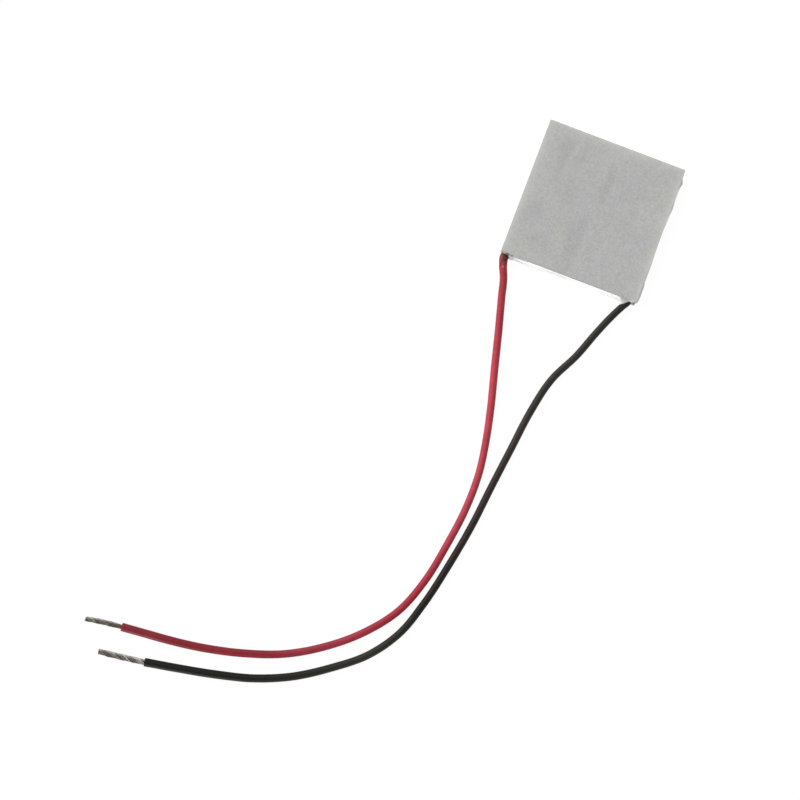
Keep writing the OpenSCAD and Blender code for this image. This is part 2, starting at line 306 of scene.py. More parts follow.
class StrandSettings(bpy.types.PropertyGroup):
    tin_colour: colour("Tin", "Colour of the tinned strands", (0.44, 0.44, 0.44))
    worn_colour: colour("Worn", "Colour where copper shows through", (0.09, 0.065, 0.05))
    red_bundle: length("Red bundle", "Diameter of the red lead's bundle", 1.1 * MM)
    black_bundle: length("Black bundle", "Diameter of the black lead's bundle", 1.24 * MM)
    red_bend: FloatProperty(
        name="Red bend", description="How far the red lead's tip bends sideways",
        default=-0.38 * MM, unit="LENGTH", precision=6,
    )
    black_bend: FloatProperty(
        name="Black bend", description="How far the black lead's tip bends sideways",
        default=0.42 * MM, unit="LENGTH", precision=6,
    )
    lay: length("Lay", "Length in which the strands go once round", 5.2 * MM)
    red_bare: length("Red bare", "Bare length at the red lead's end", 7.6 * MM)
    black_bare: length("Black bare", "Bare length at the black lead's end", 9.6 * MM)
    red_seed: IntProperty(
        name="Red seed", description="Seed of the red lead's strands", default=10,
    )
    black_seed: IntProperty(
        name="Black seed", description="Seed of the black lead's strands", default=12,
    )


# ---- Modelling helpers ----
def add(primitive, **where):
    """Adds a primitive with nothing else selected, and returns its object."""
    if bpy.context.object and bpy.context.object.mode != "OBJECT":
        bpy.ops.object.mode_set(mode="OBJECT")
    bpy.ops.object.select_all(action="DESELECT")
    primitive(**where)
    return bpy.context.object


def place(piece):
    """Moves the object's place, turn and size into its mesh."""
    bpy.ops.object.transform_apply(location=True, rotation=True, scale=True)
    return piece


def start_editing(piece):
    bpy.context.view_layer.objects.active = piece
    bpy.ops.object.mode_set(mode="EDIT")


def stop_editing():
    bpy.ops.object.mode_set(mode="OBJECT")


def pick(piece, kind, test):
    """Selects the vertices, edges or faces that pass a test, in edit mode."""
    modes = {"verts": "VERT", "edges": "EDGE", "faces": "FACE"}
    bpy.ops.mesh.select_mode(type=modes[kind])
    bpy.ops.mesh.select_all(action="DESELECT")
    shape = bmesh.from_edit_mesh(piece.data)
    for part in getattr(shape, kind):
        part.select_set(bool(test(part)))
    shape.select_flush_mode()
    bmesh.update_edit_mesh(piece.data)


def smooth(degrees):
    """Shades the object smooth, except where it turns by more than an angle."""
    bpy.ops.object.shade_smooth_by_angle(angle=math.radians(degrees))


def apply_modifier(piece, kind, **settings):
    """Adds a modifier to the piece and makes its result the mesh."""
    modifier = piece.modifiers.new(kind.title(), kind)
    for name, value in settings.items():
        setattr(modifier, name, value)
    bpy.context.view_layer.objects.active = piece
    bpy.ops.object.modifier_apply(modifier=modifier.name)


def clouds(name, size):
    """A cloud texture whose lumps are about size across, in metres."""
    texture = bpy.data.textures.new(name, "CLOUDS")
    texture.noise_scale = size
    texture.noise_depth = 3
    return texture


def finish_piece(piece, name, slot, material, *nodes):
    """Names a piece, gives it its material, hangs it from the root and hides the solids
    that it stands for.
    """
    piece.name = name
    piece.data.name = name
    piece.data.materials.clear()
    piece.data.materials.append(material)
    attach(piece, "root")
    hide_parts(*nodes)
    return piece


# ---- Material helpers ----
class Recipe:
    """One material, whose nodes are wired as they are added."""

    def __init__(self, name, **finish):
        self.material = bpy.data.materials.new(name)
        self.material.use_nodes = True
        self.tree = self.material.node_tree
        self.shader = self.tree.nodes["Principled BSDF"]
        for socket, value in finish.items():
            self.shader.inputs[socket.replace("_", " ")].default_value = value
        self.place = self.node("ShaderNodeTexCoord").outputs["Object"]

    def node(self, kind, inputs=None, **settings):
        """A new node, with its settings and with values or links as inputs."""
        node = self.tree.nodes.new(kind)
        for name, value in settings.items():
            setattr(node, name, value)
        for socket, value in (inputs or {}).items():
            self.feed(node.inputs[socket], value)
        return node

    def feed(self, socket, value):
        if isinstance(value, bpy.types.NodeSocket):
            self.tree.links.new(value, socket)
        else:
            socket.default_value = value

    def grain(self, size, detail=3.0, place=None):
        """Noise from 0 to 1 whose patches are about size across, in metres."""
        inputs = {"Vector": place or self.place, "Scale": 1 / size, "Detail": detail}
        return self.node("ShaderNodeTexNoise", inputs).outputs["Fac"]

    def maths(self, kind, first, second=0.0):
        inputs = {0: first, 1: second}
        return self.node("ShaderNodeMath", inputs, operation=kind).outputs[0]

    def vectors(self, kind, *values):
        """The outputs of vector maths: the vector, then the number."""
        inputs = dict(enumerate(values))
        return self.node("ShaderNodeVectorMath", inputs, operation=kind).outputs

    def scaled(self, factors):
        """The place with each axis multiplied, for grain that runs one way."""
        return self.vectors("MULTIPLY", self.place, factors)[0]

    def ramp(self, value, start, end, low=0.0, high=1.0):
        """The value's range from start to end, made low to high and held there."""
        inputs = {"Value": value, "From Min": start, "From Max": end}
        inputs.update({"To Min": low, "To Max": high})
        return self.node("ShaderNodeMapRange", inputs).outputs["Result"]

    def patches(self, size, low=0.0, high=1.0, detail=3.0):
        """Grain from low to high, with clearer patches than its own."""
        return self.ramp(self.grain(size, detail), 0.3, 0.7, low, high)

    def mix(self, share, first, second, blend="MIX"):
        """Goes from the first colour to the second, or blends them, by a share."""
        inputs = {0: share, 6: rgba(first), 7: rgba(second)}
        node = self.node("ShaderNodeMix", data_type="RGBA", blend_type=blend)
        for socket, value in inputs.items():
            self.feed(node.inputs[socket], value)
        return node.outputs[2]

    def dim(self, tone, factor):
        """The colour times a factor that may change from place to place."""
        grey = self.node("ShaderNodeCombineColor", {0: factor, 1: factor, 2: factor})
        return self.mix(1.0, tone, grey.outputs[0], "MULTIPLY")

    def vary(self, tone, pattern, amount):
        """The colour times 1 - amount to 1 + amount, as the pattern goes 0 to 1."""
        return self.dim(tone, self.ramp(pattern, 0, 1, 1 - amount, 1 + amount))

    def stops(self, value, colours):
        """A colour ramp through the colours at their positions."""
        ramp = self.node("ShaderNodeValToRGB", {0: value})
        steps = ramp.color_ramp.elements
        steps[0].position, steps[0].color = colours[0][0], rgba(colours[0][1])
        steps[1].position, steps[1].color = colours[-1][0], rgba(colours[-1][1])
        for position, tone in colours[1:-1]:
            steps.new(position).color = rgba(tone)
        return ramp.outputs[0]

    def mark(self, x, y, width, breadth, place):
        """A soft oval mark, 1 in its middle and 0 outside it."""
        outside, inside = 1.25, 0.45
        moved = self.vectors("SUBTRACT", place, (x * MM, y * MM, 0))[0]
        per_width = (1 / (width * MM), 1 / (breadth * MM), 0)
        reach = self.vectors("LENGTH", self.vectors("MULTIPLY", moved, per_width)[0])[1]
        return self.ramp(reach, outside, inside)

    def marked(self, tone, marks, place):
        """The colour with soft marks of other colours on it: stains, and painted shade
        and highlights.
        """
        for *oval, stain_and_shade in marks:
            tone = self.mix(self.mark(*oval, place), tone, stain_and_shade)
        return tone

    def ragged(self, size, reach):
        """The place pushed about by noise, so that marks get uneven outlines."""
        push = self.node("ShaderNodeTexNoise", {"Vector": self.place, "Scale": 1 / size})
        offset = self.vectors("SUBTRACT", push.outputs["Color"], (0.5, 0.5, 0.5))[0]
        return self.vectors("MULTIPLY_ADD", offset, (reach, reach, reach), self.place)[0]

    def bump(self, height, depth):
        """A surface that is as much as depth higher where the height is 1."""
        inputs = {"Strength": 1.0, "Distance": depth, "Height": height}
        return self.node("ShaderNodeBump", inputs).outputs["Normal"]

    def set(self, **sockets):
        """Feeds the shader's sockets and returns the finished material."""
        for socket, value in sockets.items():
            self.feed(self.shader.inputs[socket.replace("_", " ")], value)
        return self.material


def rgba(value):
    """A colour with full alpha, or the socket that gives one."""
    return value if isinstance(value, bpy.types.NodeSocket) else (*value, 1.0)


# ---- Finishes ----
def ceramic_finish(look):
    """Fired alumina: smoky grey face, paler towards its rim and on its sides."""
    r = Recipe("fired_alumina", Specular_IOR_Level=0.35)
    axes = r.node("ShaderNodeSeparateXYZ", {0: r.place}).outputs
    base = Vector(look.ceramic_colour)
    lilac = (base.x * 0.995, base.y * 0.987, base.z * 1.026)
    straw = (base.x * 1.0, base.y * 1.008, base.z * 0.942)
    tone = r.mix(r.ramp(r.grain(3.4 * MM, 2), 0.36, 0.64), lilac, straw)
    tone = r.mix(r.patches(1.6 * MM, 0.1, 0.7, detail=2), tone, tuple(base))
    smoky = r.ragged(3.0 * MM, 3.4 * MM)
    for *oval, dark in SMUDGES:
        tone = r.dim(tone, r.ramp(r.mark(*oval, smoky), 0, 1, 1, 1 - dark))
    for size, amount, factors in MOTTLING:
        place = r.scaled(factors) if factors else None
        mottle = r.ramp(r.grain(size * MM, 1.5, place), 0.25, 0.75)
        tone = r.vary(tone, mottle, amount)

    # The face is paler towards three sides, and a little darker at its very rim
    left = r.maths("ADD", axes[0], PLATE_EDGE)
    right = r.maths("SUBTRACT", PLATE_EDGE, axes[0])
    back = r.maths("SUBTRACT", PLATE_EDGE, axes[1])
    near = r.maths("MINIMUM", r.maths("MINIMUM", left, right), back)
    pale = r.maths("POWER", 0.3, r.maths("MULTIPLY", near, 1 / MM))
    pale = r.maths("MULTIPLY", pale, r.patches(2.2 * MM, 0.45, 0.95, detail=2))
    tone = r.mix(pale, tone, tuple(look.edge_colour))
    front = r.maths("ADD", axes[1], PLATE_EDGE)
    line = r.ramp(front, 0.2 * MM, 0.45 * MM, 0.9, 1.0)
    worn = r.ramp(near, 0.04 * MM, 0.2 * MM, 0.93, 1.0)
    tone = r.dim(tone, r.maths("MULTIPLY", line, worn))

    # Snapped sides are paler, with scored grooves; the front sides are painted near
    # white, which is painted light from the front
    groove_pitch = 0.17 * MM
    walk = r.maths("ADD", axes[0], axes[1])
    groove = r.maths("SINE", r.maths("MULTIPLY", walk, 2 * math.pi / groove_pitch))
    normal = r.node("ShaderNodeNewGeometry").outputs["Normal"]
    upright = r.maths("ABSOLUTE", r.node("ShaderNodeSeparateXYZ", {0: normal}).outputs[2])
    side = r.ramp(upright, 0.3, 0.8, 1.0, 0.0)
    lit_front = r.ramp(front, 0.3 * MM, 0.5 * MM, 1.0, 0.0)
    snapped = r.mix(lit_front, tuple(look.snapped_colour), tuple(look.lit_front_colour))
    tone = r.mix(side, tone, snapped)

    # The painted light on the front reaches over the lower plate's front rim, and each
    # plate has its own marks, mostly painted shade; the two are told apart by height
    upper = r.ramp(axes[2], 2.0 * MM, 2.5 * MM)
    lit_white = r.mix(lit_front, tone, tuple(look.lit_front_colour))
    lit_white = r.marked(lit_white, LEDGE_MARKS, r.ragged(0.5 * MM, 0.2 * MM))
    # Painted shade and a stain on the upper plate's front rim
    marked = r.marked(tone, PLATE_RIM_SHADE_AND_STAIN, r.ragged(0.5 * MM, 0.2 * MM))
    tone = r.mix(upper, lit_white, marked)
    scored = r.maths("MULTIPLY", groove, side)
    rough = r.patches(0.8 * MM, 0.5, 0.64)
    height = r.maths("ADD", r.grain(0.09 * MM), r.maths("MULTIPLY", scored, 0.8))
    return r.set(Base_Color=tone, Roughness=rough, Normal=r.bump(height, 0.006 * MM))


def silicone_finish(look):
    """Cured white silicone: slightly uneven, with painted shade round the leads and on
    its right side's upper half.
    """
    r = Recipe("white_silicone", Specular_IOR_Level=0.35)
    base = Vector(look.seal_colour)
    dull = tuple(base * 0.96)
    tone = r.mix(r.ramp(r.grain(1.1 * MM), 0.35, 0.65), tuple(base), dull)
    # Painted shade round the leads and at the front right corner
    tone = r.marked(tone, SEAL_PAINTED_SHADE, r.ragged(0.5 * MM, 0.3 * MM))
    height = r.node("ShaderNodeSeparateXYZ", {0: r.place}).outputs[2]
    # Painted shade on the bead's upper half, on the right side
    shaded_lip = r.marked(tone, LIP_PAINTED_SHADE, r.ragged(1.0 * MM, 0.8 * MM))
    tone = r.mix(r.ramp(height, 1.7 * MM, 2.4 * MM), tone, shaded_lip)
    rough = r.patches(0.6 * MM, 0.36, 0.5)
    return r.set(
        Base_Color=tone, Roughness=rough,
        Normal=r.bump(r.grain(0.35 * MM, 4), 0.012 * MM),
    )


def insulation_finish(name, base, painted_light, gloss, dust, marks=()):
    """Soft vinyl, whose colour is made lighter and darker from end to end: painted light
    and shade along the lead.
    """
    r = Recipe(name, Specular_IOR_Level=gloss, Sheen_Weight=dust, Sheen_Roughness=0.5)
    along = r.node("ShaderNodeAttribute", attribute_name="along").outputs["Fac"]
    # The colour along the lead carries painted light and shade
    tone = r.stops(along, [
        (share, [channel * factor for channel, factor in zip(base, factors)])
        for share, *factors in painted_light
    ])
    for patch in (2.4 * MM, 0.8 * MM):
        tone = r.vary(tone, r.patches(patch), 0.1)
    tone = r.marked(tone, marks, r.ragged(0.4 * MM, 0.2 * MM))
    rough = r.patches(1.5 * MM, 0.4, 0.55)
    dimples = r.grain(0.28 * MM)
    return r.set(Base_Color=tone, Roughness=rough, Normal=r.bump(dimples, 0.012 * MM))


def tinned_finish(look):
    """Tinned copper strands: some bright, some dull or worn to brown and green."""
    r = Recipe("tinned_strands", Metallic=0.9)
    tin, worn = tuple(look.tin_colour), tuple(look.worn_colour)
    strand = r.node("ShaderNodeAttribute", attribute_name="tone").outputs["Fac"]
    patch = r.patches(0.8 * MM, -0.18, 0.18)
    tone = r.stops(r.maths("ADD", strand, patch), [
        (0.0, tin), (0.2, (0.32, 0.32, 0.31)), (0.4, (0.24, 0.24, 0.2)),
        (0.6, (0.19, 0.16, 0.135)), (0.8, (0.12, 0.105, 0.085)), (1.0, worn),
    ])
    rough = r.patches(0.25 * MM, 0.36, 0.56)
    return r.set(
        Base_Color=tone, Roughness=rough,
        Normal=r.bump(r.grain(0.12 * MM), 0.006 * MM),
    )


def metal_finish(name, bright, dull, patch, rough):
    """A metal whose colour and gloss vary in patches."""
    r = Recipe(name, Metallic=1.0)
    share = r.ramp(r.grain(patch), 0.35, 0.65)
    gloss = r.patches(patch / 2, rough - 0.07, rough + 0.09)
    return r.set(
        Base_Color=r.mix(share, bright, dull), Roughness=gloss,
        Normal=r.bump(r.grain(patch / 4), 0.004 * MM),
    )


def telluride_finish(name, bright, dull, rough):
    """Cast bismuth telluride: fine bright streaks along its cleavage planes."""
    r = Recipe(name, Metallic=0.8)
    streaks = r.ramp(r.grain(0.22 * MM, 4, r.scaled((1.0, 1.0, 0.18))), 0.35, 0.65)
    gloss = r.patches(0.3 * MM, rough - 0.08, rough + 0.1)
    return r.set(
        Base_Color=r.mix(streaks, bright, dull), Roughness=gloss,
        Normal=r.bump(streaks, 0.008 * MM),
    )


# ---- Leads ----
def lead_route(route, start):
    """The route's points in metres, held off the table by the lead's own girth."""
    points = []
    for x, y, share, girth in route:
        z = max(LEAD_R * girth, LEAD_R + share * EXIT_RISE)
        points.append(Vector((start[0] + x, start[1] + y, z)) * MM)
    return points


def lead_knots(points):
    """Each point with its left and right handles, for one smooth curve."""
    spans = [(b - a).length for a, b in zip(points, points[1:])]
    slopes = [(b - a) / s for a, b, s in zip(points, points[1:], spans)]
    knots = []
    for i, point in enumerate(points):
        before, after = max(i - 1, 0), min(i, len(spans) - 1)
        if before == after:
            heading = slopes[after]
        else:
            total = spans[before] + spans[after]
            heading = (
                slopes[before] * spans[after] + slopes[after] * spans[before]
            ) / total
        handles = [
            point - heading * spans[before] / 3, point + heading * spans[after] / 3,
        ]
        low = min(p.z for p in points[max(i - 1, 0):i + 2])
        for handle in handles:
            handle.z = max(handle.z, low)
        knots.append((point, *handles))
    return knots


def lead_line(knots, steps=12):
    """Points along the lead's middle."""
    line = []
    for (a, _, out), (b, back, _) in zip(knots, knots[1:]):
        line += interpolate_bezier(a, out, back, b, steps + 1)[:-1]
    return line + [knots[-1][0]]


def line_length(line):
    return sum((b - a).length for a, b in zip(line, line[1:]))


def share_along(line, places, search=40):
    """How far along the line each place lies, from 0 to 1.

    The places follow the line, so each is looked for near the last one.
    """
    total, walked = line_length(line), [0.0]
    for a, b in zip(line, line[1:]):
        walked.append(walked[-1] + (b - a).length)
    shares, near = [], 0
    for place in places:
        window = range(max(0, near - search), min(len(line), near + search))
        near = min(window, key=lambda i: (line[i] - place).length_squared)
        shares.append(walked[near] / total)
    return shares


def insulation(name, knots, girths, line, look):
    """A lead's tube, with a recessed cut end that its strands come out of."""
    tube = add(bpy.ops.curve.primitive_bezier_curve_add)
    tube.location = (0, 0, 0)
    curve = tube.data
    curve.dimensions = "3D"
    spline = curve.splines[0]
    spline.bezier_points.add(len(knots) - 2)
    for point, girth, (middle, back, out) in zip(spline.bezier_points, girths, knots):
        point.handle_left_type = point.handle_right_type = "FREE"
        point.radius = girth
        point.co, point.handle_left, point.handle_right = middle, back, out
    spline.resolution_u = curve.resolution_u = 14
    curve.bevel_depth = LEAD_R * MM
    curve.bevel_resolution = 10
    curve.use_fill_caps = True
    place(tube)
    bpy.ops.object.convert(target="MESH")
    tube = bpy.context.object

    tip, tip_r = line[-1], LEAD_R * girths[-1] * MM
    rounding, recess = 0.07 * MM, 0.3 * MM

    def is_cut_end(face):
        away = (face.calc_center_median() - tip).length
        return len(face.verts) > WALL_CORNERS and away < tip_r

    start_editing(tube)
    bpy.ops.mesh.select_all(action="SELECT")
    bpy.ops.mesh.remove_doubles(threshold=0.001 * MM)
    bpy.ops.mesh.normals_make_consistent(inside=False)
    pick(tube, "faces", is_cut_end)
    bpy.ops.mesh.bevel(offset=rounding, segments=2, affect="EDGES")
    pick(tube, "faces", is_cut_end)
    bpy.ops.mesh.inset(thickness=tip_r - rounding - look.bore / 2)
    inwards = (line[-2] - tip).normalized()
    bpy.ops.mesh.extrude_region_move(
        TRANSFORM_OT_translate={"value": inwards * recess}
    )
    stop_editing()
    apply_modifier(
        tube, "DISPLACE", texture=clouds(name + "_wobble", 4 * MM),
        strength=look.wobble, mid_level=0.5, texture_coords="LOCAL",
    )
    smooth(40)
    along = tube.data.attributes.new("along", "FLOAT", "POINT")
    shares = share_along(line, [v.co for v in tube.data.vertices])
    along.data.foreach_set("value", shares)
    return tube


# ---- Twisted ends ----
def bundle_places():
    """Each strand's distance from the middle, as a share, and its angle."""
    return [
        (share, 2 * math.pi * (k + turned) / number)
        for number, share, turned in STRAND_RINGS for k in range(number)
    ]


def twisted_end(line, end, lay):
    """Twisted strands that run on from the end of a lead, as one piece."""
    rng = random.Random(end.seed)
    ahead = (line[-1] - line[-2]).normalized()
    side = ahead.cross(Vector((0, 0, 1))).normalized()
    up = side.cross(ahead)
    # The strands start inside the insulation
    hidden = 0.5 * MM
    strand = end.bundle * STRAND_SHARE
    outer = (end.bundle - strand) / 2
    steps = 60
    # The bundle is at its full girth between these shares of its length
    filled_out, drawn_in = 0.3, 0.72
    tip_loss = 0.14
    # The number of waves to a metre that a strand makes beside its place
    waves = 900

    def full_girth(gone):
        """Girth as a share, drawn in at the insulation and at the tip."""
        girth = end.neck + (1 - end.neck) * min(1.0, gone / filled_out)
        return girth - tip_loss * max(0.0, (gone - drawn_in) / (1 - drawn_in)) ** 2

    tube = add(bpy.ops.curve.primitive_bezier_curve_add)
    curve = tube.data
    curve.dimensions = "3D"
    curve.splines.clear()
    tones = []
    for share, angle in bundle_places():
        # Each strand lies a little off its place and ends a little short
        phase = rng.uniform(-0.1, 0.1)
        wander = rng.uniform(0.95, 1.05)
        reach = end.length + hidden - rng.uniform(0, 0.25) * MM
        # Two flat lobes, which turn with the lay
        lobe = 1 + 0.06 * math.cos(2 * angle)
        spline = curve.splines.new("POLY")
        spline.points.add(steps)
        for k, point in enumerate(spline.points):
            s = reach * k / steps
            gone = max(0.0, s - hidden) / end.length
            # Right-handed lay
            turn = angle + phase - 2 * math.pi * s / lay
            loose = 1 + 0.05 * noise.noise(Vector((end.seed, angle * 3, s * waves)))
            r = outer * share * wander * full_girth(gone) * loose * lobe
            bent = side * end.bend * gone ** end.curl
            middle = line[-1] + ahead * (s - hidden) + bent
            at = middle + side * (r * math.cos(turn)) + up * (r * math.sin(turn))
            point.co = (*at, 1)
        # The strands on two sides of the bundle are duller than those between
        group = 0.48 - 0.1 * math.cos(2 * angle - 0.6)
        tones.append(group + rng.uniform(-0.2, 0.2))
    curve.bevel_depth = strand / 2
    curve.bevel_resolution = 2
    curve.use_fill_caps = True
    tube.location = (0, 0, 0)
    bpy.ops.object.convert(target="MESH")
    tube = bpy.context.object
    vertices = tube.data.vertices
    count = len(vertices) // len(tones)
    values = []
    for i, vertex in enumerate(vertices):
        offset = vertex.co - line[-1]
        gone = offset.dot(ahead) / end.length
        across = offset.dot(side) - end.bend * max(gone, 0.0) ** end.curl
        value = tones[min(i // count, len(tones) - 1)]
        value = value + end.worn + end.fading * (0.5 - gone)
        # Painted light and shade: the side that faces the key lamp is lighter and greyer,
        # the other side darker and browner
        values.append(value - 0.25 * across / outer)
    tone = tube.data.attributes.new("tone", "FLOAT", "POINT")
    tone.data.foreach_set("value", values)
    smooth(50)
    return tube


# ---- Plates ----
def lies_at(edge, height):
    """Whether both ends of an edge are at a height."""
    return all(abs(v.co.z - height) < SAME for v in edge.verts)


def ceramic_plate(node, name, look, material):
    """A plate snapped from a scored sheet: sharp, and slightly ragged at its rim."""
    low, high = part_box(node)
    size = high - low
    layers, cuts_along_side = 4, 119
    plate = add(bpy.ops.mesh.primitive_plane_add, size=1)
    plate.location = ((low.x + high.x) / 2, (low.y + high.y) / 2, low.z)
    plate.scale = (size.x, size.y, 1)
    place(plate)
    start_editing(plate)
    bpy.ops.mesh.select_all(action="SELECT")
    bpy.ops.mesh.bevel(offset=look.corner_radius, segments=4, affect="VERTICES")
    pick(plate, "edges", lambda e: e.calc_length() > size.x / 2)
    bpy.ops.mesh.subdivide(number_cuts=cuts_along_side)
    for _ in range(layers):
        top = max(v.co.z for v in bmesh.from_edit_mesh(plate.data).verts)
        pick(plate, "faces", lambda f: len(f.verts) > WALL_CORNERS
             and f.calc_center_median().z > top - SAME)
        bpy.ops.mesh.extrude_region_move(
            TRANSFORM_OT_translate={"value": (0, 0, size.z / layers)}
        )
    bpy.ops.mesh.select_all(action="SELECT")
    bpy.ops.mesh.normals_make_consistent(inside=False)
    pick(plate, "edges", lambda e: lies_at(e, low.z) or lies_at(e, high.z))
    bpy.ops.mesh.bevel(offset=look.edge_break, segments=2, affect="EDGES")
    stop_editing()
    for axis in (0, 1):
        letter = "XY"[axis]
        group = plate.vertex_groups.new(name="side_" + letter)
        rim = [v.index for v in plate.data.vertices
               if abs(v.co[axis]) > high[axis] - look.edge_break * 1.5]
        group.add(rim, 1.0, "REPLACE")
        apply_modifier(
            plate, "DISPLACE", texture=clouds(name + letter, 0.9 * MM),
            direction=letter, strength=look.edge_wander, mid_level=0.5,
            texture_coords="LOCAL", vertex_group=group.name,
        )
    plate.vertex_groups.clear()
    return finish_piece(plate, name, "ceramic", material, node)


# ---- Sealing bead ----
def outward(place, corner):
    """Direction straight out of the bead's rounded outline at a place."""
    flat = Vector((place.x, place.y))
    inner = Vector([max(-corner, min(corner, across)) for across in flat])
    return (flat - inner).normalized()


def from_table(table, value):
    """The table's second column at a value of its first, with soft corners."""
    for (a, low), (b, high) in zip(table, table[1:]):
        if value <= b:
            share = min(1.0, max(0.0, (value - a) / (b - a)))
            return low + (high - low) * share * share * (3 - 2 * share)
    return table[-1][1]


def seal_bulge(place, look):
    """How far the bead's face stands out at a place, beyond its outline."""
    height = (place.z - HOT_TOP) / (COLD_BOTTOM - HOT_TOP)
    # The face is fullest at half height and ends at the plates
    face = 1 - abs(2 * height - 1) ** 2.5
    # The number of lumps to a metre
    coarse, fine = 420, 1300
    lump = noise.noise(place * coarse) + 0.4 * noise.noise(place * fine)
    bulge = look.swell + look.lumps * lump
    reach = PLATE_EDGE - look.inset - look.corner_radius * 0.6
    if place.x > reach:
        bulge = from_table(SQUEEZED, place.y / MM) * MM + look.lumps * lump * 0.5
    elif place.y < -reach:
        # The front is flush with the plates over its whole height
        full = from_table(DABS, place.x / MM) * MM
        flush = min(full, look.inset)
        return flush + (full - flush + look.lumps * lump * 0.5) * face
    return bulge * face


def sealing_bead(look, material):
    """The bead round the rim: a thin ring of sealant, swollen and uneven."""
    reach = PLATE_EDGE - look.inset
    rows, cuts_along_side = 16, 199
    ring = add(bpy.ops.mesh.primitive_plane_add, size=2 * reach)
    ring.location = (0, 0, HOT_TOP)
    place(ring)
    start_editing(ring)
    bpy.ops.mesh.select_all(action="SELECT")
    bpy.ops.mesh.bevel(offset=look.corner_radius, segments=8, affect="VERTICES")
    pick(ring, "edges", lambda e: e.calc_length() > reach)
    bpy.ops.mesh.subdivide(number_cuts=cuts_along_side)
    bpy.ops.mesh.select_all(action="SELECT")
    bpy.ops.mesh.delete(type="ONLY_FACE")
    bpy.ops.mesh.select_mode(type="EDGE")
    bpy.ops.mesh.select_all(action="SELECT")
    rise = (COLD_BOTTOM - HOT_TOP) / rows
    for _ in range(rows):
        bpy.ops.mesh.extrude_edges_move(TRANSFORM_OT_translate={"value": (0, 0, rise)})
    bpy.ops.mesh.select_all(action="SELECT")
    bpy.ops.mesh.normals_make_consistent(inside=False)
    stop_editing()
    outer = len(ring.data.vertices)
    apply_modifier(
        ring, "SOLIDIFY", thickness=look.width, offset=-1, use_even_offset=True,
    )
    corner = reach - look.corner_radius
    for vertex in ring.data.vertices[:outer]:
        out = outward(vertex.co, corner)
        bulge = seal_bulge(vertex.co, look)
        vertex.co.x += out.x * bulge
        vertex.co.y += out.y * bulge
    smooth(50)
    return finish_piece(ring, "silicone_bead", "sealant", material, "perimeter_seal")


# ---- Operators ----
class COOLING_OT_stage(bpy.types.Operator):
    """Add the camera, the lamps, the sky and the floor"""

    bl_idname = "cooling_module.stage"
    bl_label = "Stage"

    def execute(self, context):
        look = context.scene.cooling_stage
        camera = bpy.data.cameras.new("camera")
        camera.type = "PERSP"
        camera.sensor_width = 36
        camera.lens = look.lens
        camera.clip_start, camera.clip_end = 0.02, 20
        eye = bpy.data.objects.new("camera", camera)
        axes = Matrix((CAMERA_RIGHT, CAMERA_UP, CAMERA_BACK))
        turn = axes.transposed().to_4x4()
        eye.matrix_world = Matrix.Translation(CAMERA_PLACE) @ turn
        context.collection.objects.link(eye)
        context.scene.camera = eye

        self.lamp(context, "key_lamp", *KEY_LAMP, look.key_power)
        self.lamp(context, "fill_lamp", *FILL_LAMP, look.fill_power)

        sky = bpy.data.worlds.new("sky")
        sky.use_nodes = True
        shade = sky.node_tree.nodes["Background"]
        shade.inputs["Color"].default_value = (1, 1, 1, 1)
        shade.inputs["Strength"].default_value = look.sky
        context.scene.world = sky
        context.scene.view_settings.view_transform = "Standard"

        floor = add(bpy.ops.mesh.primitive_plane_add, size=look.floor_size)
        floor.location = (0, 0, -FLOOR_DROP)
        place(floor)
        floor.name = "floor"
        floor.data.materials.append(self.floor_finish(look))
        return {"FINISHED"}

    def lamp(self, context, name, where, size, power):
        """Adds a soft lamp that points at the module."""
        data = bpy.data.lights.new(name, "AREA")
        data.shape = "RECTANGLE"
        data.size, data.size_y = size
        data.energy = power
        lamp = bpy.data.objects.new(name, data)
        lamp.location = where
        aim = (Vector(LIT_SPOT) - Vector(where)).to_track_quat("-Z", "Y")
        lamp.rotation_euler = aim.to_euler()
        context.collection.objects.link(lamp)

    def floor_finish(self, look):
        """Seen directly or in a gloss it glows white, with faint shadows on it.

        To all other light it is a plain pale floor.
        """
        material = bpy.data.materials.new("floor")
        material.use_nodes = True
        tree = material.node_tree
        tree.nodes.clear()
        plain = tree.nodes.new("ShaderNodeBsdfDiffuse")
        plain.inputs["Color"].default_value = (*look.floor_colour, 1)
        faint = tree.nodes.new("ShaderNodeBsdfDiffuse")
        faint.inputs["Color"].default_value = (FLOOR_SHADE, FLOOR_SHADE, FLOOR_SHADE, 1)
        glow = tree.nodes.new("ShaderNodeEmission")
        glow.inputs["Strength"].default_value = FLOOR_GLOW
        white = tree.nodes.new("ShaderNodeAddShader")
        path = tree.nodes.new("ShaderNodeLightPath")
        seen = tree.nodes.new("ShaderNodeMath")
        seen.operation = "MAXIMUM"
        shown = tree.nodes.new("ShaderNodeMath")
        shown.operation = "MAXIMUM"
        choice = tree.nodes.new("ShaderNodeMixShader")
        out = tree.nodes.new("ShaderNodeOutputMaterial")
        for a, b in (
            (path.outputs["Is Camera Ray"], seen.inputs[0]),
            (path.outputs["Is Glossy Ray"], seen.inputs[1]),
            (seen.outputs[0], shown.inputs[0]),
            (path.outputs["Is Transmission Ray"], shown.inputs[1]),
            (shown.outputs[0], choice.inputs[0]),
            (plain.outputs[0], choice.inputs[1]),
            (faint.outputs[0], white.inputs[0]),
            (glow.outputs[0], white.inputs[1]),
            (white.outputs[0], choice.inputs[2]),
            (choice.outputs[0], out.inputs["Surface"]),
        ):
            tree.links.new(a, b)
        return material


